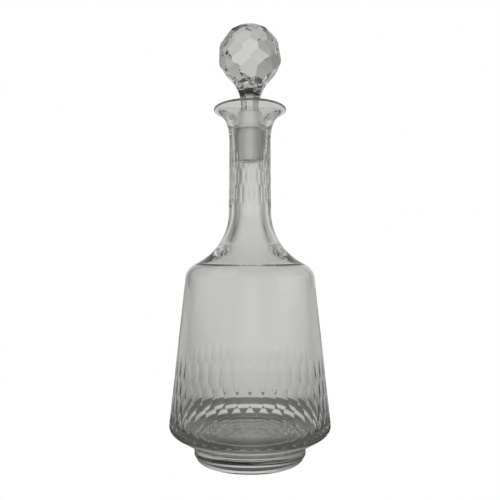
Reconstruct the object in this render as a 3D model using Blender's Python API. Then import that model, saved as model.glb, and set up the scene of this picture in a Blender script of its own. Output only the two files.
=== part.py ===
"""A cut crystal decanter: a blown and cut vessel, the foot applied under it and a solid cut stopper.

Metres, +Z up, origin on the axis in the plane the foot stands on.  Every outline is a list of
(radius, height) points that is turned about the axis; the vessel's two cut bands and the
stopper's flats are then taken off that turned shape.
"""

from collections import namedtuple
from math import atan2, cos, pi, radians, sin, sqrt, tan

import bmesh
import bpy
from mathutils import Vector

# ---- driving dimensions -----------------------------------------------------------------

TOTAL_HEIGHT = 0.300
RIM_HEIGHT = 0.2413
RIM_RADIUS = 0.02515
NECK_RADIUS = 0.0144
NECK_FOOT_RADIUS = 0.0148
SHOULDER_RADIUS = 0.0440
SHOULDER_HEIGHT = 0.1301
HIP_RADIUS = 0.05615
HIP_HEIGHT = 0.0202
FOOT_RADIUS = 0.0386
FOOT_HEIGHT = 0.0092
WALL = 0.0050
SHOULDER_WALL = 0.0027
FLOOR_HEIGHT = 0.0155
BALL_RADIUS = 0.0205
CLEARANCE = 0.0003
WELD = 1e-6

# Columns of faces round each turned piece.
HIP_COLUMNS = 84
ROUND_COLUMNS = 56
NECK_COLUMNS = 42
FOOT_COLUMNS = 56
PEG_COLUMNS = 32

# ---- the blown vessel -------------------------------------------------------------------

HIP_ROUND = 0.0056
SHOULDER_ROUND = 0.0120
SHOULDER_SLOPE = radians(27)
SWEEP_FOOT_RADIUS = 0.0372
SWEEP_TOP = 0.168
FLARE_START = 0.217
RIM_THICKNESS = 0.0017

SWEEP_REACH = 0.023
SWEEP_ARRIVAL = 0.004
FLARE_HANDLE = (0.0156, 0.2355)
FLARE_RISE = 0.010
FUNNEL_HANDLES = ((0.0175, 0.2392), (0.0105, 0.2345))

INNER_HIP_ROUND = 0.012
INNER_SHOULDER_ROUND = 0.009
INNER_SHOULDER_DROP = 0.00175
BORE_THROAT_RADIUS = 0.0084
BORE_THROAT_HEIGHT = 0.172
THROAT_FALL = 0.020
THROAT_HANDLE = (0.0140, 0.1424)

# A band of long pointed cuts.  The rows are a pitch apart and each is turned half a cut from the
# last; neighbours in one row touch along a waist, so every cut is a hexagon drawn out to a point
# at both ends.  A hollow of 1 is flat across; more is scooped out across as well as along.
Band = namedtuple("Band", "cuts rows lowest pitch waist depth hollow")
HIP_BAND = Band(cuts=42, rows=4, lowest=0.0266, pitch=0.0120, waist=0.0028, depth=0.00032, hollow=1.8)
NECK_BAND = Band(cuts=21, rows=3, lowest=0.1816, pitch=0.0106, waist=0.0024, depth=0.00026, hollow=1.25)

# ---- the stopper ------------------------------------------------------------------------

FLATS = 8
FLAT_TURN = radians(-5.4)
FLAT_ROWS = (-13, 12, 37, 62)
FLUTE_LATITUDE = radians(-39)
BALL_HEIGHT = 0.2784
FLUTE_RUN = 0.0060
FLUTE_EASE = 0.0040
BLANK_RUN = 0.0110
WAIST_RADIUS = 0.0057
WAIST_HEIGHT = 0.2400
WAIST_RISE = 0.0100
STEM_BOTTOM_RADIUS = 0.0060
STEM_BOTTOM = 0.2374
PEG_SHOULDER_HANDLES = ((0.0086, 0.2330), (0.0084, 0.2369))
PEG_BOTTOM = 0.2040
PEG_TOP = 0.2296
PEG_BOTTOM_RADIUS = 0.00693
PEG_TOP_RADIUS = 0.00790
PEG_CHAMFER = 0.0006

# ---- the applied foot -------------------------------------------------------------------

FOOT_BEVEL_HEIGHT = 0.0030
FOOT_BEVEL_WIDTH = 0.0016
REST_RING_WIDTH = 0.0070
UNDERSIDE_HOLLOW = 0.0016
HOLLOW_RISE = 0.8
HOLLOW_FLAT = 0.5


# ---- outlines ---------------------------------------------------------------------------

def bezier(start, first, second, end, steps):
    """Points along a cubic curve, without its first point."""
    points = []
    for step in range(1, steps + 1):
        t = step / steps
        s = 1 - t
        weights = (s ** 3, 3 * s * s * t, 3 * s * t * t, t ** 3)
        handles = (start, first, second, end)
        points.append(tuple(sum(w * h[axis] for w, h in zip(weights, handles)) for axis in (0, 1)))
    return points


def rounded(before, corner, after, radius, steps):
    """The arc that rounds off one corner of an outline, both tangent points included."""
    corner = Vector(corner)
    back = (Vector(before) - corner).normalized()
    ahead = (Vector(after) - corner).normalized()
    half_angle = back.angle(ahead) / 2
    centre = corner + (back + ahead).normalized() * (radius / sin(half_angle))
    start = corner + back * (radius / tan(half_angle)) - centre
    turn = pi - 2 * half_angle
    if start.x * (corner - centre).y - start.y * (corner - centre).x < 0:
        turn = -turn
    first = atan2(start.y, start.x)
    angles = [first + turn * step / steps for step in range(steps + 1)]
    return [(centre.x + radius * cos(a), centre.y + radius * sin(a)) for a in angles]


def along(start, end, height):
    """The point at one height on the line through start and end."""
    share = (height - start[1]) / (end[1] - start[1])
    return start[0] + (end[0] - start[0]) * share, height


def wall_point(height, inset=0.0):
    """A point on the straight cone of the wall, or on its inside."""
    radius, height = along((HIP_RADIUS, HIP_HEIGHT), (SHOULDER_RADIUS, SHOULDER_HEIGHT), height)
    return radius - inset, height


def neck_point(height):
    """A point on the neck, which narrows a little as it rises."""
    return along((NECK_FOOT_RADIUS, SWEEP_TOP), (NECK_RADIUS, FLARE_START), height)


# ---- cuts -------------------------------------------------------------------------------

def cut_length_scale(band):
    """How many metres of height a cut spans for each radian it spans round the axis."""
    half_cut = pi / band.cuts
    return sqrt(band.pitch * (band.pitch - 2 * band.waist)) / half_cut


def cut_depth(band, radius, angle, height):
    """Glass taken off at one place: the deepest of the cuts that reach it."""
    half_cut = pi / band.cuts
    deepest = 0.0
    for row in range(band.rows):
        aside = (angle - (row % 2) * half_cut + half_cut) % (2 * half_cut) - half_cut
        up = (height - band.lowest - row * band.pitch) / cut_length_scale(band)
        deepest = max(deepest, band.depth - band.hollow * radius / 2 * (aside ** 2 + up ** 2))
    return deepest


def fading_heights(band, radius):
    """Distances above the end row's middle where its sides, then its tips, run out of the glass."""
    half_cut = pi / band.cuts
    tip = 2 * band.depth / (radius * band.hollow)
    side = max(tip - half_cut ** 2, 0.0)
    return cut_length_scale(band) * sqrt(side), cut_length_scale(band) * sqrt(tip)


def row_heights(band, splits):
    """Heights of the rings that carry every crease between the rows, from the lowest row up."""
    heights = []
    for row in range(band.rows):
        middle = band.lowest + row * band.pitch
        heights += [middle - band.waist, middle + band.waist]
        if row + 1 < band.rows:
            slant = band.pitch - 2 * band.waist
            heights += [middle + band.waist + slant * step / splits for step in range(1, splits)]
    return heights


# ---- meshes -----------------------------------------------------------------------------

def ring(mesh, radius, height, columns, band=None):
    """A ring of vertices, cut back where a band crosses it; one vertex if it lies on the axis."""
    if radius == 0:
        return [mesh.verts.new((0, 0, height))]
    vertices = []
    for column in range(columns):
        angle = 2 * pi * column / columns
        here = radius
        if band:
            here -= cut_depth(band, radius, angle, height)
        vertices.append(mesh.verts.new((here * cos(angle), here * sin(angle), height)))
    return vertices


def join_equal(mesh, lower, upper, rising):
    """Two triangles a column between rings of one size; rising(column) picks the diagonal."""
    count = len(lower)
    faces = []
    for i in range(count):
        j = (i + 1) % count
        if rising(i):
            corners = ((lower[i], lower[j], upper[j]), (lower[i], upper[j], upper[i]))
        else:
            corners = ((lower[i], lower[j], upper[i]), (lower[j], upper[j], upper[i]))
        faces += [mesh.faces.new(triangle) for triangle in corners]
    return faces


def join_unequal(mesh, lower, upper):
    """Triangles between rings of different sizes, always stepping the ring that lags behind."""
    faces = []
    i = 0
    j = 0
    while i < len(lower) or j < len(upper):
        at_lower = lower[i % len(lower)]
        at_upper = upper[j % len(upper)]
        if j == len(upper) or (i < len(lower) and i / len(lower) <= j / len(upper)):
            faces.append(mesh.faces.new((at_lower, lower[(i + 1) % len(lower)], at_upper)))
            i += 1
        else:
            faces.append(mesh.faces.new((at_lower, upper[(j + 1) % len(upper)], at_upper)))
            j += 1
    return faces


def join(mesh, lower, upper, rising=lambda column: True):
    """Faces between two neighbouring rings, either of which may be a single vertex."""
    if len(lower) == 1:
        pairs = zip(upper, upper[1:] + upper[:1])
        return [mesh.faces.new((lower[0], b, a)) for a, b in pairs]
    if len(upper) == 1:
        pairs = zip(lower, lower[1:] + lower[:1])
        return [mesh.faces.new((a, b, upper[0])) for a, b in pairs]
    if len(lower) == len(upper):
        return join_equal(mesh, lower, upper, rising)
    return join_unequal(mesh, lower, upper)


def turn(mesh, outline, columns, start=None):
    """Turn an outline about the axis, going on from a ring already there; returns the last ring."""
    last = start
    for radius, height in outline:
        here = ring(mesh, radius, height, columns)
        if last:
            for face in join(mesh, last, here):
                face.smooth = True
        last = here
    return last


def turn_band(mesh, band, outline, columns, start):
    """Turn a stretch that crosses a band of cuts, with the diagonals laid along the creases."""
    per_half_cut = columns // (2 * band.cuts)
    last = start
    for radius, height in outline:
        here = ring(mesh, radius, height, columns, band)
        middle = (last[0].co.z + height) / 2
        step = int((middle - band.lowest) // band.pitch)
        flip = step % 2 == 1
        join(mesh, last, here, lambda column: (column // per_half_cut % 2 == 1) != flip)
        last = here
    return last


def finish(mesh, name, colour, roughness):
    """Make the object, facing outwards, with sharp edges kept and its own material."""
    bmesh.ops.recalc_face_normals(mesh, faces=mesh.faces)
    data = bpy.data.meshes.new(name)
    mesh.to_mesh(data)
    mesh.free()
    data.set_sharp_from_angle(angle=radians(30))
    material = bpy.data.materials.new(name + "_glass")
    material.use_nodes = True
    shader = material.node_tree.nodes["Principled BSDF"]
    shader.inputs["Base Color"].default_value = (*colour, 1)
    shader.inputs["Roughness"].default_value = roughness
    shader.inputs["Metallic"].default_value = 0
    material.diffuse_color = (*colour, 1)
    data.materials.append(material)
    piece = bpy.data.objects.new(name, data)
    bpy.context.collection.objects.link(piece)
    return piece


# ---- the three pieces -------------------------------------------------------------------

def vessel_underside():
    """From the middle of the underside out to where the rounded hip meets the cut wall."""
    seat = (FOOT_RADIUS, FOOT_HEIGHT)
    hip = (HIP_RADIUS, HIP_HEIGHT)
    return [(0, FOOT_HEIGHT), seat] + rounded(seat, hip, (SHOULDER_RADIUS, SHOULDER_HEIGHT),
                                              HIP_ROUND, 5)


def hip_band_outline():
    """The wall where it is cut, ring by ring, up to the tips of the top row."""
    top_row = HIP_BAND.lowest + (HIP_BAND.rows - 1) * HIP_BAND.pitch
    sides, tips = fading_heights(HIP_BAND, wall_point(top_row)[0])
    heights = row_heights(HIP_BAND, 1)[1:] + [top_row + sides, top_row + tips]
    return [wall_point(height) for height in heights]


def shoulder_outline():
    """Round the shoulder and up the hollow sweep to the foot of the neck."""
    hip = (HIP_RADIUS, HIP_HEIGHT)
    shoulder = (SHOULDER_RADIUS, SHOULDER_HEIGHT)
    rise = (SHOULDER_RADIUS - SWEEP_FOOT_RADIUS) * tan(SHOULDER_SLOPE)
    sweep_foot = (SWEEP_FOOT_RADIUS, SHOULDER_HEIGHT + rise)
    leave = (SWEEP_FOOT_RADIUS - SWEEP_REACH * cos(SHOULDER_SLOPE),
             sweep_foot[1] + SWEEP_REACH * sin(SHOULDER_SLOPE))
    arrive = (NECK_FOOT_RADIUS, SWEEP_TOP - SWEEP_ARRIVAL)
    sweep = bezier(sweep_foot, leave, arrive, (NECK_FOOT_RADIUS, SWEEP_TOP), 9)
    return rounded(hip, shoulder, sweep_foot, SHOULDER_ROUND, 5) + sweep


def neck_band_outline():
    """The neck where it is cut, from the tips of the lowest row to the tips of the top row."""
    lowest_row = NECK_BAND.lowest
    top_row = lowest_row + (NECK_BAND.rows - 1) * NECK_BAND.pitch
    sides, tips = fading_heights(NECK_BAND, NECK_RADIUS)
    heights = [lowest_row - tips, lowest_row - sides]
    heights += row_heights(NECK_BAND, 1) + [top_row + sides, top_row + tips]
    return [neck_point(height) for height in heights]


def lip_outline():
    """The flare of the neck, the rounded rim, and back down the funnel to the ground bore."""
    half = RIM_THICKNESS / 2
    rim_centre = (RIM_RADIUS - half, RIM_HEIGHT - half)
    under_rim = (rim_centre[0], rim_centre[1] - half)
    flare = bezier((NECK_RADIUS, FLARE_START), (NECK_RADIUS, FLARE_START + FLARE_RISE),
                   FLARE_HANDLE, under_rim, 9)
    angles = [radians(-45 + 45 * step) for step in range(4)]
    rim = [(rim_centre[0] + half * cos(a), rim_centre[1] + half * sin(a)) for a in angles]
    bore_top = (PEG_TOP_RADIUS + CLEARANCE, PEG_TOP)
    funnel = bezier(rim[-1], *FUNNEL_HANDLES, bore_top, 9)[:-1]
    return [(NECK_RADIUS, FLARE_START)] + flare + rim + funnel


def inside_outline():
    """Down the ground bore, out under the shoulder, down the wall and across the floor."""
    bore_bottom = (PEG_BOTTOM_RADIUS + CLEARANCE, PEG_BOTTOM)
    throat = (BORE_THROAT_RADIUS, BORE_THROAT_HEIGHT)
    rise = (SHOULDER_RADIUS - SWEEP_FOOT_RADIUS) * tan(SHOULDER_SLOPE)
    under_sweep = (SWEEP_FOOT_RADIUS - SHOULDER_WALL * sin(SHOULDER_SLOPE),
                   SHOULDER_HEIGHT + rise - SHOULDER_WALL * cos(SHOULDER_SLOPE))
    shoulder = wall_point(SHOULDER_HEIGHT - INNER_SHOULDER_DROP, SHOULDER_WALL)
    hip = wall_point(FLOOR_HEIGHT, WALL)
    sweep = bezier(throat, (BORE_THROAT_RADIUS, BORE_THROAT_HEIGHT - THROAT_FALL), THROAT_HANDLE,
                   under_sweep, 7)
    return ([(PEG_TOP_RADIUS + CLEARANCE, PEG_TOP), bore_bottom, throat] + sweep[:-1]
            + rounded(under_sweep, shoulder, hip, INNER_SHOULDER_ROUND, 4)
            + rounded(shoulder, hip, (0, FLOOR_HEIGHT), INNER_HIP_ROUND, 6)
            + [(0, FLOOR_HEIGHT)])


def build_vessel():
    mesh = bmesh.new()
    last = turn(mesh, vessel_underside(), HIP_COLUMNS)
    last = turn_band(mesh, HIP_BAND, hip_band_outline(), HIP_COLUMNS, last)
    last = turn(mesh, shoulder_outline(), ROUND_COLUMNS, last)
    last = turn_band(mesh, NECK_BAND, neck_band_outline(), NECK_COLUMNS, last)
    last = turn(mesh, lip_outline(), ROUND_COLUMNS, last)
    turn(mesh, inside_outline(), ROUND_COLUMNS, last)
    return finish(mesh, "blown_vessel", (0.86, 0.88, 0.88), 0.02)


def build_foot():
    mesh = bmesh.new()
    top = FOOT_HEIGHT - CLEARANCE
    rest_outer = FOOT_RADIUS - FOOT_BEVEL_WIDTH
    rest_inner = rest_outer - REST_RING_WIDTH
    hollow = bezier((rest_inner, 0), (rest_inner * HOLLOW_RISE, UNDERSIDE_HOLLOW * HOLLOW_RISE),
                    (rest_inner * HOLLOW_FLAT, UNDERSIDE_HOLLOW), (0, UNDERSIDE_HOLLOW), 5)
    outline = [(0, top), (FOOT_RADIUS, top), (FOOT_RADIUS, FOOT_BEVEL_HEIGHT)]
    outline += [(rest_outer, 0), (rest_inner, 0)] + hollow
    turn(mesh, outline, FOOT_COLUMNS)
    return finish(mesh, "applied_foot", (0.80, 0.83, 0.84), 0.03)


def grind_flat(mesh, normal, distance, lowest):
    """Grind one flat on the ball: everything beyond the plane goes, and the plane is closed."""
    centre = Vector((0, 0, BALL_HEIGHT))
    faces = [face for face in mesh.faces if min(v.co.z for v in face.verts) > lowest - WELD]
    edges = {edge for face in faces for edge in face.edges}
    vertices = {vertex for face in faces for vertex in face.verts}
    cut = bmesh.ops.bisect_plane(mesh, geom=[*vertices, *edges, *faces], dist=WELD / 10,
                                 plane_co=centre + normal * distance, plane_no=normal,
                                 clear_outer=True)
    outline = [part for part in cut["geom_cut"] if isinstance(part, bmesh.types.BMEdge)]
    bmesh.ops.edgeloop_fill(mesh, edges=outline)


def octagon(mesh, apothem, height):
    """A ring of eight corners round eight flats."""
    corner = apothem / cos(pi / FLATS)
    angles = [FLAT_TURN + (side + 0.5) * 2 * pi / FLATS for side in range(FLATS)]
    return [mesh.verts.new((corner * cos(a), corner * sin(a), height)) for a in angles]


def flute_start():
    """Where the flutes' straight upper ends begin, below where they touch the ball."""
    flute = Vector((cos(FLUTE_LATITUDE), sin(FLUTE_LATITUDE)))
    uphill = Vector((-flute.y, flute.x))
    return Vector((0, BALL_HEIGHT)) + flute * BALL_RADIUS - uphill * FLUTE_RUN, uphill


def stem_outline():
    """Apothem and height of the eight flutes, from the stem out to well beyond the ball."""
    start, uphill = flute_start()
    beyond = start + uphill * (FLUTE_RUN + BLANK_RUN)
    waist = (WAIST_RADIUS, WAIST_HEIGHT)
    sweep = bezier(waist, (WAIST_RADIUS, WAIST_HEIGHT + WAIST_RISE), tuple(start - uphill * FLUTE_EASE),
                   tuple(start), 7)
    return [(STEM_BOTTOM_RADIUS, STEM_BOTTOM), waist, *sweep, tuple(beyond), (beyond.x, TOTAL_HEIGHT)]


def peg_outline():
    """The round end of the stopper: the tapered ground peg and the shoulder above it."""
    shoulder = bezier((PEG_TOP_RADIUS, PEG_TOP), *PEG_SHOULDER_HANDLES,
                      (STEM_BOTTOM_RADIUS, STEM_BOTTOM), 8)
    return [(0, PEG_BOTTOM), (PEG_BOTTOM_RADIUS - PEG_CHAMFER, PEG_BOTTOM),
            (PEG_BOTTOM_RADIUS, PEG_BOTTOM + PEG_CHAMFER), (PEG_TOP_RADIUS, PEG_TOP),
            *shoulder[:-1]]


def build_stopper():
    mesh = bmesh.new()
    last = turn(mesh, peg_outline(), PEG_COLUMNS)
    for apothem, height in stem_outline():
        here = octagon(mesh, apothem, height)
        join(mesh, last, here)
        last = here
    mesh.faces.new(last)
    bmesh.ops.recalc_face_normals(mesh, faces=mesh.faces)
    lowest = flute_start()[0].y
    for row, degrees in enumerate(FLAT_ROWS):
        latitude = radians(degrees)
        for side in range(FLATS):
            angle = FLAT_TURN + (side + 0.5 * ((row + 1) % 2)) * 2 * pi / FLATS
            normal = Vector((cos(latitude) * cos(angle), cos(latitude) * sin(angle), sin(latitude)))
            grind_flat(mesh, normal, BALL_RADIUS, lowest)
    bmesh.ops.dissolve_limit(mesh, angle_limit=radians(0.01), verts=mesh.verts, edges=mesh.edges)
    bmesh.ops.triangulate(mesh, faces=mesh.faces)
    return finish(mesh, "stopper", (0.88, 0.89, 0.90), 0.02)


for leftover in list(bpy.data.objects):
    bpy.data.objects.remove(leftover)

build_vessel()
build_foot()
build_stopper()
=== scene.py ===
"""Looks of the cut crystal decanter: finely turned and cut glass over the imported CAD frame."""

from collections import namedtuple
from math import atan2, cos, pi, radians, sin, sqrt, tan

import bmesh
import bpy
import numpy as np
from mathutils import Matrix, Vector


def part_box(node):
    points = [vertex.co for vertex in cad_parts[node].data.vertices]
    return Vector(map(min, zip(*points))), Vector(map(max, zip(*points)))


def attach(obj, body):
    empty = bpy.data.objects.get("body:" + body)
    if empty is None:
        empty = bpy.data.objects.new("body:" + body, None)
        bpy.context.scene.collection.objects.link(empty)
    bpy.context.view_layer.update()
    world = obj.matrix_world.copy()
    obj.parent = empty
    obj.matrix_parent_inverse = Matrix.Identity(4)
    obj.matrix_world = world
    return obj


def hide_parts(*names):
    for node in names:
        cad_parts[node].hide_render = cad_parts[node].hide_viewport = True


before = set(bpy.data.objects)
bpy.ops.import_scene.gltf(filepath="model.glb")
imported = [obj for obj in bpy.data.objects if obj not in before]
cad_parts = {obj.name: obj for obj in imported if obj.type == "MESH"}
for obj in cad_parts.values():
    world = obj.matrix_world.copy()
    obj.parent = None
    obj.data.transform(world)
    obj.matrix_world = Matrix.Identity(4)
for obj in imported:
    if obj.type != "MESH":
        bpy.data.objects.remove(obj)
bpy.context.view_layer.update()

# ---- sizes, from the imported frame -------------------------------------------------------

foot_low, foot_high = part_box("applied_foot")
vessel_low, vessel_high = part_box("blown_vessel")
stopper_low, stopper_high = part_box("stopper")

HEIGHT = stopper_high.z
MM = HEIGHT / 300

FOOT_RADIUS = foot_high.x
FOOT_HEIGHT = vessel_low.z
FOOT_BEVEL_HEIGHT = 3.0 * MM
FOOT_BEVEL_WIDTH = 1.6 * MM
REST_RING_WIDTH = 7.0 * MM
REST_ROUND = 0.5 * MM
BEVEL_ROUND = 0.8 * MM
SEAM_ROUND = 0.5 * MM
UNDERSIDE_HOLLOW = 1.6 * MM
HOLLOW_RISE = 0.8
HOLLOW_FLAT = 0.5

HIP_RADIUS = 56.15 * MM
HIP_HEIGHT = 20.2 * MM
HIP_ROUND = 5.6 * MM
HIP_RUNOUT = 22.2 * MM
SHOULDER_RADIUS = 44.0 * MM
SHOULDER_HEIGHT = 130.1 * MM
SHOULDER_ROUND = 12.0 * MM
SHOULDER_SLOPE = radians(27)
SWEEP_FOOT_RADIUS = 37.2 * MM
SWEEP_TOP = 168 * MM
SWEEP_REACH = 23 * MM
SWEEP_ARRIVAL = 4 * MM
NECK_RADIUS = 14.4 * MM
NECK_FOOT_RADIUS = 14.8 * MM
FLARE_START = 217 * MM
FLARE_RISE = 10 * MM
FLARE_HANDLE = (15.6 * MM, 235.5 * MM)
RIM_RADIUS = 25.15 * MM
RIM_HEIGHT = vessel_high.z
RIM_THICKNESS = 1.7 * MM
FUNNEL_HANDLES = ((17.5 * MM, 239.2 * MM), (10.5 * MM, 234.5 * MM))

WALL = 5.0 * MM
SHOULDER_WALL = 2.7 * MM
FLOOR_HEIGHT = 15.5 * MM
INNER_HIP_ROUND = 12 * MM
INNER_SHOULDER_ROUND = 9 * MM
INNER_SHOULDER_DROP = 1.75 * MM
THROAT_RADIUS = 8.4 * MM
THROAT_HEIGHT = 172 * MM
THROAT_FALL = 20 * MM
THROAT_HANDLE = (14 * MM, 142.4 * MM)
CLEARANCE = 0.3 * MM

PEG_BOTTOM = stopper_low.z
PEG_TOP = 229.6 * MM
PEG_BOTTOM_RADIUS = 6.93 * MM
PEG_TOP_RADIUS = 7.90 * MM
PEG_CHAMFER = 0.6 * MM
PEG_SHOULDER_HANDLES = ((8.6 * MM, 233 * MM), (8.4 * MM, 236.9 * MM))
STEM_BOTTOM_RADIUS = 6.0 * MM
STEM_BOTTOM = 237.4 * MM
WAIST_RADIUS = 5.7 * MM
WAIST_HEIGHT = 240 * MM
WAIST_RISE = 10 * MM
BALL_RADIUS = 20.5 * MM
BALL_HEIGHT = 278.4 * MM
FLATS = 8
FLAT_TURN = radians(-5.4)
FLAT_ROWS = (-13, 12, 37, 62)
FLUTE_LATITUDE = radians(-39)
FLUTE_RUN = 6 * MM
FLUTE_EASE = 4 * MM
BLANK_RUN = 11 * MM
FLAT_EDGE = radians(14)

# Columns of faces round each turned piece.
COLUMNS = 336
PEG_COLUMNS = 128

# Distances that count as nothing: off the axis, and off the cut wall.
ON_AXIS = 1e-9
ON_WALL = 0.01 * MM

# The socket's ground surface is given far too low an index on purpose: it stands in for a peg that
# touches the bore, and lets the peg show through the neck at its full width.
CRYSTAL_IOR = 1.53
SOCKET_IOR = 1.06

# The two bands of cuts: rows of long pointed cuts, each row turned half a cut from the last.
# A hollow of 1 is flat across; more is scooped out across as well as along.
Band = namedtuple("Band", "cuts rows lowest pitch waist depth hollow")
HIP_BAND = Band(cuts=42, rows=4, lowest=26.6 * MM, pitch=12 * MM, waist=2.8 * MM,
                depth=0.32 * MM, hollow=1.8)
NECK_BAND = Band(cuts=21, rows=3, lowest=181.6 * MM, pitch=10.6 * MM, waist=2.4 * MM,
                 depth=0.40 * MM, hollow=2.0)


# ---- outlines ---------------------------------------------------------------------------

def bezier(start, first, second, end, steps):
    """Points along a cubic curve, without its first point."""
    t = np.linspace(0, 1, steps + 1)[1:, None]
    start, first, second, end = (np.array(point) for point in (start, first, second, end))
    s = 1 - t
    curve = s ** 3 * start + 3 * s ** 2 * t * first + 3 * s * t * t * second + t ** 3 * end
    return [tuple(point) for point in curve]


def rounded(before, corner, after, radius, steps):
    """The arc that rounds off one corner of an outline, both tangent points included."""
    corner = Vector(corner)
    back = (Vector(before) - corner).normalized()
    ahead = (Vector(after) - corner).normalized()
    half_angle = back.angle(ahead) / 2
    centre = corner + (back + ahead).normalized() * (radius / sin(half_angle))
    start = corner + back * (radius / tan(half_angle)) - centre
    turn = pi - 2 * half_angle
    if start.x * (corner - centre).y - start.y * (corner - centre).x < 0:
        turn = -turn
    first = atan2(start.y, start.x)
    angles = [first + turn * step / steps for step in range(steps + 1)]
    return [(centre.x + radius * cos(a), centre.y + radius * sin(a)) for a in angles]


def along(start, end, height):
    """The point at one height on the line through start and end."""
    share = (height - start[1]) / (end[1] - start[1])
    return start[0] + (end[0] - start[0]) * share, height


def straight(start, end, steps):
    """Evenly spaced points on the way to end, without start."""
    return [tuple(start[i] + (end[i] - start[i]) * step / steps for i in (0, 1))
            for step in range(1, steps + 1)]


def wall_point(height, inset=0.0):
    """A point on the straight cone of the wall, or on its inside."""
    radius, height = along((HIP_RADIUS, HIP_HEIGHT), (SHOULDER_RADIUS, SHOULDER_HEIGHT), height)
    return radius - inset, height


def neck_point(height):
    """A point on the neck, which narrows a little as it rises."""
    return along((NECK_FOOT_RADIUS, SWEEP_TOP), (NECK_RADIUS, FLARE_START), height)


# ---- cuts -------------------------------------------------------------------------------

def length_scale(band):
    """How many metres of height a cut spans for each radian it spans round the axis."""
    return sqrt(band.pitch * (band.pitch - 2 * band.waist)) / (pi / band.cuts)


def cuts_at(band, radius, angle, height):
    """(depth of glass taken off, number of the cut that takes it) for arrays of places."""
    half_cut = pi / band.cuts
    depth = np.zeros_like(angle)
    owner = np.full(angle.shape, -1)
    for row in range(band.rows):
        turned = angle - (row % 2) * half_cut + half_cut
        aside = turned % (2 * half_cut) - half_cut
        number = row * band.cuts + (turned // (2 * half_cut)).astype(int) % band.cuts
        up = (height - band.lowest - row * band.pitch) / length_scale(band)
        here = band.depth - band.hollow * radius / 2 * (aside ** 2 + up ** 2)
        deeper = here > depth
        depth = np.where(deeper, here, depth)
        owner = np.where(deeper, number, owner)
    return depth, owner


def fading_offsets(band, radius, splits):
    """Heights past the end row's middle at which its outline crosses each column of faces."""
    half_cut = pi / band.cuts
    reach = 2 * band.depth / (radius * band.hollow)
    across = [half_cut * (splits - step) / splits for step in range(splits + 1)]
    return [length_scale(band) * sqrt(max(reach - a * a, 0)) for a in across]


def row_heights(band, splits):
    """Heights of the rings that carry every crease between the rows."""
    heights = []
    slant = band.pitch - 2 * band.waist
    for row in range(band.rows):
        middle = band.lowest + row * band.pitch
        heights += [middle - band.waist, middle, middle + band.waist]
        if row + 1 < band.rows:
            heights += [middle + band.waist + slant * step / splits for step in range(1, splits)]
    return heights


# ---- meshes -----------------------------------------------------------------------------

def hip_round(steps):
    """The round under the wall, from the foot's seat up to where the wall runs straight."""
    return rounded((FOOT_RADIUS, FOOT_HEIGHT), (HIP_RADIUS, HIP_HEIGHT),
                   (SHOULDER_RADIUS, SHOULDER_HEIGHT), HIP_ROUND, steps)


def hip_heights():
    """Heights of the rings through the hip's band, up to the tips of its top row."""
    splits = COLUMNS // (2 * HIP_BAND.cuts)
    top_row = HIP_BAND.lowest + (HIP_BAND.rows - 1) * HIP_BAND.pitch
    fade = fading_offsets(HIP_BAND, wall_point(top_row)[0], splits)
    return row_heights(HIP_BAND, splits) + [top_row + offset for offset in fade]


def hip_runout(angles):
    """The scalloped ring where the lowest row of cuts runs out on the rounded hip."""
    tangent = hip_round(2)[-1]
    depth = cuts_at(HIP_BAND, HIP_RADIUS, angles, np.full_like(angles, tangent[1] - HIP_ROUND / 8))[0]
    height = tangent[1] - np.sqrt(2 * HIP_ROUND * depth)
    return wall_point(height)[0] - depth, height


def neck_heights():
    """Heights of the rings through the neck's band, from its lowest tips to its highest."""
    splits = COLUMNS // (2 * NECK_BAND.cuts)
    top_row = NECK_BAND.lowest + (NECK_BAND.rows - 1) * NECK_BAND.pitch
    fade = fading_offsets(NECK_BAND, NECK_RADIUS, splits)
    below = [NECK_BAND.lowest - offset for offset in reversed(fade)]
    return below + row_heights(NECK_BAND, splits) + [top_row + offset for offset in fade]


def outside_outline():
    """From the middle of the hollow underside, round the foot, up the wall and out to the rim."""
    rest_outer = (FOOT_RADIUS - FOOT_BEVEL_WIDTH, 0)
    rest_inner = (rest_outer[0] - REST_RING_WIDTH, 0)
    hollow = bezier((0, UNDERSIDE_HOLLOW), (rest_inner[0] * HOLLOW_FLAT, UNDERSIDE_HOLLOW),
                    (rest_inner[0] * HOLLOW_RISE, UNDERSIDE_HOLLOW * HOLLOW_RISE), rest_inner, 16)
    side_low = (FOOT_RADIUS, FOOT_BEVEL_HEIGHT)
    seat = (FOOT_RADIUS, FOOT_HEIGHT)
    hip = (HIP_RADIUS, HIP_HEIGHT)
    shoulder = (SHOULDER_RADIUS, SHOULDER_HEIGHT)
    rise = (SHOULDER_RADIUS - SWEEP_FOOT_RADIUS) * tan(SHOULDER_SLOPE)
    sweep_foot = (SWEEP_FOOT_RADIUS, SHOULDER_HEIGHT + rise)
    leave = (sweep_foot[0] - SWEEP_REACH * cos(SHOULDER_SLOPE),
             sweep_foot[1] + SWEEP_REACH * sin(SHOULDER_SLOPE))
    arrive = (NECK_FOOT_RADIUS, SWEEP_TOP - SWEEP_ARRIVAL)
    points = [(0, UNDERSIDE_HOLLOW)] + hollow
    points += rounded(rest_inner, rest_outer, side_low, REST_ROUND, 4)
    points += rounded(rest_outer, side_low, seat, BEVEL_ROUND, 5)
    points += rounded(side_low, seat, hip, SEAM_ROUND, 5)
    points += [point for point in hip_round(16) if point[1] < HIP_RUNOUT]
    points.append(wall_point(HIP_RUNOUT))
    points += [wall_point(height) for height in hip_heights()]
    round_shoulder = rounded(hip, shoulder, sweep_foot, SHOULDER_ROUND, 16)
    points += straight(points[-1], round_shoulder[0], 8) + round_shoulder[1:]
    points += bezier(sweep_foot, leave, arrive, (NECK_FOOT_RADIUS, SWEEP_TOP), 28)
    points += [neck_point(height) for height in neck_heights()]
    return points


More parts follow.
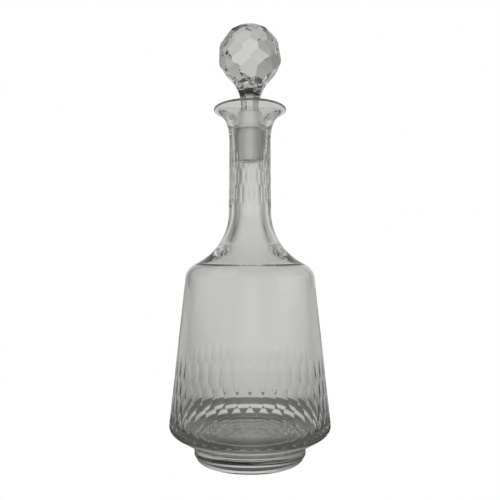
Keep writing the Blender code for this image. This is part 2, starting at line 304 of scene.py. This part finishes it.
def lip_outline():
    """The flare of the neck, the rounded rim, and the funnel down to the ground bore."""
    half = RIM_THICKNESS / 2
    rim_centre = (RIM_RADIUS - half, RIM_HEIGHT - half)
    under_rim = (rim_centre[0], rim_centre[1] - half)
    flare = bezier((NECK_RADIUS, FLARE_START), (NECK_RADIUS, FLARE_START + FLARE_RISE),
                   FLARE_HANDLE, under_rim, 22)
    angles = [radians(-90 + 18 * step) for step in range(1, 11)]
    rim = [(rim_centre[0] + half * cos(a), rim_centre[1] + half * sin(a)) for a in angles]
    bore_top = (PEG_TOP_RADIUS + CLEARANCE, PEG_TOP)
    funnel = bezier(rim[-1], *FUNNEL_HANDLES, bore_top, 18)[:-1]
    return [(NECK_RADIUS, FLARE_START)] + flare + rim + funnel


def inside_outline():
    """Out under the shoulder from the bottom of the ground bore, down the wall, across the floor."""
    throat = (THROAT_RADIUS, THROAT_HEIGHT)
    rise = (SHOULDER_RADIUS - SWEEP_FOOT_RADIUS) * tan(SHOULDER_SLOPE)
    under_sweep = (SWEEP_FOOT_RADIUS - SHOULDER_WALL * sin(SHOULDER_SLOPE),
                   SHOULDER_HEIGHT + rise - SHOULDER_WALL * cos(SHOULDER_SLOPE))
    shoulder = wall_point(SHOULDER_HEIGHT - INNER_SHOULDER_DROP, SHOULDER_WALL)
    hip = wall_point(FLOOR_HEIGHT, WALL)
    sweep = bezier(throat, (THROAT_RADIUS, THROAT_HEIGHT - THROAT_FALL), THROAT_HANDLE,
                   under_sweep, 24)
    round_shoulder = rounded(under_sweep, shoulder, hip, INNER_SHOULDER_ROUND, 12)
    round_hip = rounded(shoulder, hip, (0, FLOOR_HEIGHT), INNER_HIP_ROUND, 16)
    bore_bottom = (PEG_BOTTOM_RADIUS + CLEARANCE, PEG_BOTTOM)
    points = straight(bore_bottom, throat, 6) + sweep + round_shoulder
    points += straight(round_shoulder[-1], round_hip[0], 12) + round_hip[1:]
    return points + straight(round_hip[-1], (0, FLOOR_HEIGHT), 5)


def band_at(radius, height):
    """The band of cuts that crosses this place on the outside, if any."""
    if abs(radius - wall_point(height)[0]) < ON_WALL and height < SHOULDER_HEIGHT:
        return HIP_BAND
    if abs(radius - neck_point(height)[0]) < ON_WALL and SWEEP_TOP <= height <= FLARE_START:
        return NECK_BAND
    return None


def turned_and_cut(outline, columns, cut_rings, runout):
    """Vertices, faces and the cut each face lies in, for an outline turned about the axis."""
    angles = np.arange(columns) * 2 * pi / columns
    vertices = []
    starts = []
    for index, (radius, height) in enumerate(outline):
        starts.append(len(vertices))
        if radius < ON_AXIS:
            vertices.append((0, 0, height))
            continue
        here = np.full(columns, radius)
        level = np.full(columns, height)
        if index == runout:
            here, level = hip_runout(angles)
        elif index in cut_rings:
            here = here - cuts_at(cut_rings[index], radius, angles, level)[0]
        vertices += list(zip(here * np.cos(angles), here * np.sin(angles), level))
    faces = []
    owners = []
    for index in range(len(outline) - 1):
        low, high = starts[index], starts[index + 1]
        around = [(i, (i + 1) % columns) for i in range(columns)]
        if high - low == 1:
            faces += [(low, high + j, high + i) for i, j in around]
            owners += [-1] * columns
        elif outline[index + 1][0] < ON_AXIS:
            faces += [(low + i, low + j, high) for i, j in around]
            owners += [-1] * columns
        elif index in cut_rings and index + 1 in cut_rings:
            made, owned = crease_faces(outline, index, low, high, columns, cut_rings[index])
            faces += made
            owners += owned
        else:
            faces += [(low + i, low + j, high + j, high + i) for i, j in around]
            owners += [-1] * columns
    return vertices, faces, owners


def crease_faces(outline, index, low, high, columns, band):
    """Two triangles a cell, with the diagonal laid along the creases between the cuts."""
    radius, height = outline[index]
    above = outline[index + 1][1]
    per_half_cut = columns // (2 * band.cuts)
    step = int(((height + above) / 2 - band.lowest) // band.pitch)
    faces = []
    places = []
    for i in range(columns):
        j = (i + 1) % columns
        rising = (i // per_half_cut % 2 == 1) != (step % 2 == 1)
        if rising:
            faces += [(low + i, low + j, high + j), (low + i, high + j, high + i)]
            places += [(i + 2 / 3, 1 / 3), (i + 1 / 3, 2 / 3)]
        else:
            faces += [(low + i, low + j, high + i), (low + j, high + j, high + i)]
            places += [(i + 1 / 3, 1 / 3), (i + 2 / 3, 2 / 3)]
    places = np.array(places)
    angle = places[:, 0] * 2 * pi / columns
    level = height + (above - height) * places[:, 1]
    return faces, list(cuts_at(band, radius, angle, level)[1])


def crisp_creases(mesh, owners):
    """Marks the edges between two different cuts as sharp and shades everything else smooth."""
    pairs = {}
    for polygon in mesh.polygons:
        for key in polygon.edge_keys:
            pairs.setdefault(key, []).append(owners[polygon.index])
    sharp = np.zeros(len(mesh.edges), bool)
    for edge in mesh.edges:
        two = pairs[edge.key]
        sharp[edge.index] = len(two) == 2 and two[0] != two[1]
    attribute = mesh.attributes.new("sharp_edge", "BOOLEAN", "EDGE")
    attribute.data.foreach_set("value", sharp)
    mesh.polygons.foreach_set("use_smooth", np.ones(len(mesh.polygons), bool))


def add_piece(name, mesh, materials):
    """An object of this mesh, with its materials in order."""
    piece = bpy.data.objects.new(name, mesh)
    bpy.context.collection.objects.link(piece)
    for material in materials:
        mesh.materials.append(material)
    return piece


def build_vessel(crystal, ground):
    """The blown vessel with its foot fused on, as one body of glass with the bore ground."""
    outside = outside_outline()
    lip = lip_outline()
    bore_top = (PEG_TOP_RADIUS + CLEARANCE, PEG_TOP)
    bore_bottom = (PEG_BOTTOM_RADIUS + CLEARANCE, PEG_BOTTOM)
    bore = [bore_top] + straight(bore_top, bore_bottom, 8)
    outline = outside + lip + bore + inside_outline()
    cut_rings = {}
    for index, (radius, height) in enumerate(outside):
        band = band_at(radius, height)
        if band:
            cut_rings[index] = band
    vertices, faces, owners = turned_and_cut(outline, COLUMNS, cut_rings, min(cut_rings))
    mesh = bpy.data.meshes.new("glass_vessel")
    mesh.from_pydata(vertices, [], faces)
    crisp_creases(mesh, owners)
    piece = add_piece("glass_vessel", mesh, (crystal, ground))
    for polygon in mesh.polygons:
        centre = polygon.center
        if PEG_BOTTOM < centre.z < PEG_TOP and Vector(centre.xy).length < bore_top[0] + ON_WALL:
            polygon.material_index = 1
    return piece


# ---- the stopper ------------------------------------------------------------------------

def flute_start():
    """Where the flutes' straight upper ends begin, below where they touch the ball."""
    flute = Vector((cos(FLUTE_LATITUDE), sin(FLUTE_LATITUDE)))
    uphill = Vector((-flute.y, flute.x))
    return Vector((0, BALL_HEIGHT)) + flute * BALL_RADIUS - uphill * FLUTE_RUN, uphill


def flute_outline():
    """Apothem and height of the eight flutes, from the stem out to well beyond the ball."""
    start, uphill = flute_start()
    beyond = start + uphill * (FLUTE_RUN + BLANK_RUN)
    waist = (WAIST_RADIUS, WAIST_HEIGHT)
    sweep = bezier(waist, (WAIST_RADIUS, WAIST_HEIGHT + WAIST_RISE),
                   tuple(start - uphill * FLUTE_EASE), tuple(start), 20)
    return [(STEM_BOTTOM_RADIUS, STEM_BOTTOM), waist, *sweep, tuple(beyond), (beyond.x, HEIGHT)]


def peg_outline():
    """The round end of the stopper: the tapered ground peg and the shoulder above it."""
    bottom = (PEG_BOTTOM_RADIUS, PEG_BOTTOM)
    top = (PEG_TOP_RADIUS, PEG_TOP)
    points = [(0, PEG_BOTTOM)] + rounded((0, PEG_BOTTOM), bottom, top, PEG_CHAMFER, 6)
    points += straight(points[-1], top, 8)
    return points + bezier(top, *PEG_SHOULDER_HANDLES, (STEM_BOTTOM_RADIUS, STEM_BOTTOM), 14)[:-1]


def ring(mesh, radius, height, columns, turn=0.0):
    """A ring of vertices about the axis; one vertex if it lies on the axis."""
    if radius < ON_AXIS:
        return [mesh.verts.new((0, 0, height))]
    angles = [turn + 2 * pi * column / columns for column in range(columns)]
    return [mesh.verts.new((radius * cos(a), radius * sin(a), height)) for a in angles]


def join(mesh, lower, upper):
    """Faces between two rings; the longer ring steps several times for each step of the shorter."""
    i = 0
    j = 0
    while i < len(lower) or j < len(upper):
        at_lower = lower[i % len(lower)]
        at_upper = upper[j % len(upper)]
        next_lower = lower[(i + 1) % len(lower)]
        next_upper = upper[(j + 1) % len(upper)]
        if len(lower) == len(upper):
            mesh.faces.new((at_lower, next_lower, next_upper, at_upper))
            i += 1
            j += 1
        elif len(upper) == 1 or (len(lower) > 1 and i / len(lower) <= j / len(upper) and i < len(lower)):
            mesh.faces.new((at_lower, next_lower, at_upper))
            i += 1
            j += len(upper) == 1 and i == len(lower)
        else:
            mesh.faces.new((at_lower, next_upper, at_upper))
            j += 1
            i += len(lower) == 1 and j == len(upper)


def grind_flat(mesh, normal, distance, lowest):
    """Grind one flat on the ball: everything beyond the plane goes, and the plane is closed."""
    faces = [face for face in mesh.faces if min(v.co.z for v in face.verts) > lowest]
    edges = {edge for face in faces for edge in face.edges}
    vertices = {vertex for face in faces for vertex in face.verts}
    cut = bmesh.ops.bisect_plane(mesh, geom=[*vertices, *edges, *faces], dist=1e-7,
                                 plane_co=Vector((0, 0, BALL_HEIGHT)) + normal * distance,
                                 plane_no=normal, clear_outer=True)
    outline = [part for part in cut["geom_cut"] if isinstance(part, bmesh.types.BMEdge)]
    bmesh.ops.edgeloop_fill(mesh, edges=outline)


def build_stopper(crystal, ground):
    """The solid stopper: the turned peg and fluted stem, with the ball ground flat by flat."""
    mesh = bmesh.new()
    last = None
    for radius, height in peg_outline():
        here = ring(mesh, radius, height, PEG_COLUMNS)
        if last:
            join(mesh, last, here)
        last = here
    for apothem, height in flute_outline():
        here = ring(mesh, apothem / cos(pi / FLATS), height, FLATS, FLAT_TURN + pi / FLATS)
        join(mesh, last, here)
        last = here
    mesh.faces.new(last)
    bmesh.ops.recalc_face_normals(mesh, faces=mesh.faces)
    lowest = flute_start()[0].y - 0.001 * MM
    for row, degrees in enumerate(FLAT_ROWS):
        latitude = radians(degrees)
        for side in range(FLATS):
            angle = FLAT_TURN + (side + 0.5 * ((row + 1) % 2)) * 2 * pi / FLATS
            normal = Vector((cos(latitude) * cos(angle), cos(latitude) * sin(angle), sin(latitude)))
            grind_flat(mesh, normal, BALL_RADIUS, lowest)
    for face in mesh.faces:
        face.smooth = True
        centre = face.calc_center_median()
        if centre.z < PEG_TOP and face.normal.z > -0.5:
            face.material_index = 1
    data = bpy.data.meshes.new("glass_stopper")
    mesh.to_mesh(data)
    mesh.free()
    data.set_sharp_from_angle(angle=FLAT_EDGE)
    return add_piece("glass_stopper", data, (crystal, ground))


# ---- materials --------------------------------------------------------------------------

def crystal_material():
    """Clear lead crystal: nearly colourless, with a trace of uneven tint and smears in the polish."""
    material = bpy.data.materials.new("clear_crystal")
    material.use_nodes = True
    nodes, links = material.node_tree.nodes, material.node_tree.links
    shader = nodes["Principled BSDF"]
    shader.inputs["Transmission Weight"].default_value = 1
    shader.inputs["IOR"].default_value = CRYSTAL_IOR
    place = nodes.new("ShaderNodeTexCoord")
    tint = nodes.new("ShaderNodeTexNoise")
    tint.inputs["Scale"].default_value = 14
    tint_range = nodes.new("ShaderNodeValToRGB")
    tint_range.color_ramp.elements[0].color = (0.955, 0.955, 0.940, 1)
    tint_range.color_ramp.elements[1].color = (0.985, 0.985, 0.985, 1)
    smear = nodes.new("ShaderNodeTexNoise")
    smear.inputs["Scale"].default_value = 60
    smear.inputs["Detail"].default_value = 4
    smear_range = nodes.new("ShaderNodeMapRange")
    smear_range.inputs["From Min"].default_value = 0.45
    smear_range.inputs["From Max"].default_value = 0.75
    smear_range.inputs["To Min"].default_value = 0.0
    smear_range.inputs["To Max"].default_value = 0.004
    links.new(place.outputs["Object"], tint.inputs["Vector"])
    links.new(tint.outputs["Fac"], tint_range.inputs["Fac"])
    links.new(tint_range.outputs["Color"], shader.inputs["Base Color"])
    links.new(place.outputs["Object"], smear.inputs["Vector"])
    links.new(smear.outputs["Fac"], smear_range.inputs["Value"])
    links.new(smear_range.outputs["Result"], shader.inputs["Roughness"])
    return material


def ground_material(name, bending):
    """Glass ground to a matt fit, with the fine level scratches that the grinding leaves."""
    material = bpy.data.materials.new(name)
    material.use_nodes = True
    nodes, links = material.node_tree.nodes, material.node_tree.links
    shader = nodes["Principled BSDF"]
    shader.inputs["Transmission Weight"].default_value = 0.9
    shader.inputs["IOR"].default_value = bending
    shader.inputs["Base Color"].default_value = (1, 1, 1, 1)
    place = nodes.new("ShaderNodeTexCoord")
    stretch = nodes.new("ShaderNodeMapping")
    stretch.inputs["Scale"].default_value = (1, 1, 40)
    scratches = nodes.new("ShaderNodeTexNoise")
    scratches.inputs["Scale"].default_value = 60
    scratch_range = nodes.new("ShaderNodeMapRange")
    scratch_range.inputs["To Min"].default_value = 0.14
    scratch_range.inputs["To Max"].default_value = 0.30
    links.new(place.outputs["Object"], stretch.inputs["Vector"])
    links.new(stretch.outputs["Vector"], scratches.inputs["Vector"])
    links.new(scratches.outputs["Fac"], scratch_range.inputs["Value"])
    links.new(scratch_range.outputs["Result"], shader.inputs["Roughness"])
    return material


# ---- studio -----------------------------------------------------------------------------

def seen_directly(nodes, links, other, white):
    """Mixes so that the camera sees white while the glass bends and mirrors the other shader."""
    path = nodes.new("ShaderNodeLightPath")
    mix = nodes.new("ShaderNodeMixShader")
    links.new(path.outputs["Is Camera Ray"], mix.inputs[0])
    links.new(other, mix.inputs[1])
    links.new(white, mix.inputs[2])
    return mix.outputs[0]


def ramp(nodes, links, value, low, high, stops):
    """Greys spread over a range of values as (value, level) stops, the darker ones a touch warmer as
    painted warm shade.
    """
    spread = nodes.new("ShaderNodeMapRange")
    spread.inputs["From Min"].default_value = low
    spread.inputs["From Max"].default_value = high
    links.new(value, spread.inputs["Value"])
    grey = nodes.new("ShaderNodeValToRGB")
    while len(grey.color_ramp.elements) < len(stops):
        grey.color_ramp.elements.new(0.5)
    for element, (place, level) in zip(grey.color_ramp.elements, stops):
        element.position = (place - low) / (high - low)
        # Darker greys lose a little more blue: painted warm shade.
        element.color = (level, level ** 1.01, level ** 1.04, 1)
    links.new(spread.outputs["Result"], grey.inputs["Fac"])
    return grey.outputs["Color"]


def multiply(nodes, links, first, second):
    """The product of two colours."""
    node = nodes.new("ShaderNodeVectorMath")
    node.operation = "MULTIPLY"
    links.new(first, node.inputs[0])
    links.new(second, node.inputs[1])
    return node.outputs[0]


def build_floor():
    """A pale floor: plain white seen directly; for the glass to bend and mirror it glows with painted light
    and shade, and a painted shadow lies under the decanter as a dark disc.
    """
    mesh = bpy.data.meshes.new("floor")
    reach = 40
    mesh.from_pydata([(-reach, -reach, 0), (reach, -reach, 0), (reach, reach, 0), (-reach, reach, 0)],
                     [], [(0, 1, 2, 3)])
    material = bpy.data.materials.new("floor_with_painted_shade")
    material.use_nodes = True
    nodes, links = material.node_tree.nodes, material.node_tree.links
    place = nodes.new("ShaderNodeNewGeometry")
    distance = nodes.new("ShaderNodeVectorMath")
    distance.operation = "LENGTH"
    links.new(place.outputs["Position"], distance.inputs[0])
    toward = nodes.new("ShaderNodeVectorMath")
    toward.operation = "NORMALIZE"
    links.new(place.outputs["Position"], toward.inputs[0])
    axes = nodes.new("ShaderNodeSeparateXYZ")
    links.new(toward.outputs[0], axes.inputs[0])
    # Painted shadow: a dark disc under the decanter, darkest at its middle and seen only through the glass;
    # the floor gets lighter further out.
    painted_shade_by_distance = ramp(nodes, links, distance.outputs["Value"], 0, 0.5,
                   ((0, 0.08), (0.06, 0.12), (0.150, 0.17), (0.157, 0.52), (0.25, 0.56), (0.5, 0.63)))
    # Painted light and shade round the floor: lighter on the camera side and the far side, darker to either
    # side.
    around = ramp(nodes, links, axes.outputs["Y"], -1, 1,
                  ((-1, 0.75), (-0.5, 0.6), (0, 0.5), (0.5, 0.7), (0.8, 1), (1, 1)))
    # Painted light and shade from side to side, with a darker band on each side of the middle.
    painted_light_sideways = ramp(nodes, links, axes.outputs["X"], -1, 1,
                    ((-1, 1), (-0.7, 0.8), (-0.4, 0.62), (-0.2, 0.88), (-0.1, 1), (0.14, 1),
                     (0.25, 0.92), (0.45, 0.7), (0.7, 0.8), (1, 1)))
    # The floor glows with these painted greys instead of being lit.
    painted_glow = nodes.new("ShaderNodeEmission")
    shaded = multiply(nodes, links, multiply(nodes, links, painted_shade_by_distance, around), painted_light_sideways)
    links.new(shaded, painted_glow.inputs["Color"])
    white = nodes.new("ShaderNodeEmission")
    result = seen_directly(nodes, links, painted_glow.outputs[0], white.outputs[0])
    links.new(result, nodes["Material Output"].inputs["Surface"])
    mesh.materials.append(material)
    floor = bpy.data.objects.new("floor", mesh)
    bpy.context.collection.objects.link(floor)


def build_world():
    """The studio: plain white seen directly, and for the glass graded greys, darkest overhead."""
    world = bpy.data.worlds.new("studio")
    bpy.context.scene.world = world
    world.use_nodes = True
    nodes, links = world.node_tree.nodes, world.node_tree.links
    nodes.clear()
    direction = nodes.new("ShaderNodeTexCoord")
    axes = nodes.new("ShaderNodeSeparateXYZ")
    links.new(direction.outputs["Generated"], axes.inputs[0])
    low = ramp(nodes, links, axes.outputs["Y"], -1, 1,
               ((-1, 0.75), (-0.3, 0.70), (0.2, 0.55), (0.55, 0.33), (0.78, 0.42), (0.92, 0.66), (1, 0.66)))
    high = ramp(nodes, links, axes.outputs["Y"], -1, 1,
                ((-1, 0.10), (0, 0.08), (0.4, 0.16), (0.55, 0.45), (0.8, 0.55), (0.92, 0.66), (1, 0.66)))
    raised = ramp(nodes, links, axes.outputs["Z"], -1, 1, ((-1, 0), (0.12, 0), (0.35, 1), (1, 1)))
    overhead = ramp(nodes, links, axes.outputs["Z"], -1, 1, ((-1, 1), (0.6, 1), (0.85, 0.2), (1, 0.05)))
    both = nodes.new("ShaderNodeMix")
    both.data_type = "RGBA"
    links.new(raised, both.inputs["Factor"])
    links.new(low, both.inputs["A"])
    links.new(high, both.inputs["B"])
    side = ramp(nodes, links, axes.outputs["X"], -1, 1,
                ((-1, 1), (-0.75, 0.55), (-0.45, 0.6), (-0.15, 0.95), (-0.05, 1), (0.2, 1),
                 (0.4, 0.85), (1, 0.9)))
    grey = nodes.new("ShaderNodeBackground")
    shaded = multiply(nodes, links, multiply(nodes, links, both.outputs["Result"], side), overhead)
    links.new(shaded, grey.inputs["Color"])
    white = nodes.new("ShaderNodeBackground")
    white.inputs["Color"].default_value = (1, 1, 1, 1)
    result = seen_directly(nodes, links, grey.outputs[0], white.outputs[0])
    output = nodes.new("ShaderNodeOutputWorld")
    links.new(result, output.inputs["Surface"])


def build_lights():
    """One large soft box high on the left, and a weaker one on the right."""
    middle = Vector((0, 0, HEIGHT / 2))
    boxes = (("key", (-0.9, -0.5, 1.1), 1.2, 2), ("fill", (1.1, -0.4, 0.7), 1.0, 1))
    for name, place, size, power in boxes:
        light = bpy.data.lights.new(name, "AREA")
        light.size = size
        light.energy = power
        lamp = bpy.data.objects.new(name, light)
        lamp.location = place
        lamp.rotation_euler = (middle - Vector(place)).to_track_quat("-Z", "Y").to_euler()
        bpy.context.collection.objects.link(lamp)


def build_camera():
    """Level with the shoulder and close, so the lip is seen from below and the foot from above."""
    distance = 1.2377 * HEIGHT
    eye_height = 0.4257 * HEIGHT
    camera = bpy.data.objects.new("camera", bpy.data.cameras.new("camera"))
    camera.location = (0, -distance, eye_height)
    camera.rotation_euler = (pi / 2, 0, 0)
    camera.data.sensor_width = 36
    camera.data.lens = 38.3
    camera.data.shift_y = 0.044
    bpy.context.collection.objects.link(camera)
    bpy.context.scene.camera = camera


crystal = crystal_material()
vessel = build_vessel(crystal, ground_material("ground_socket", SOCKET_IOR))
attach(vessel, "decanter")
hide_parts("blown_vessel", "applied_foot")
stopper = build_stopper(crystal, ground_material("ground_peg", CRYSTAL_IOR))
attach(stopper, "stopper")
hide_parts("stopper")
build_floor()
build_world()
build_lights()
build_camera()

scene = bpy.context.scene
scene.view_settings.view_transform = "Standard"
scene.cycles.max_bounces = 32
scene.cycles.transmission_bounces = 32
scene.cycles.glossy_bounces = 12
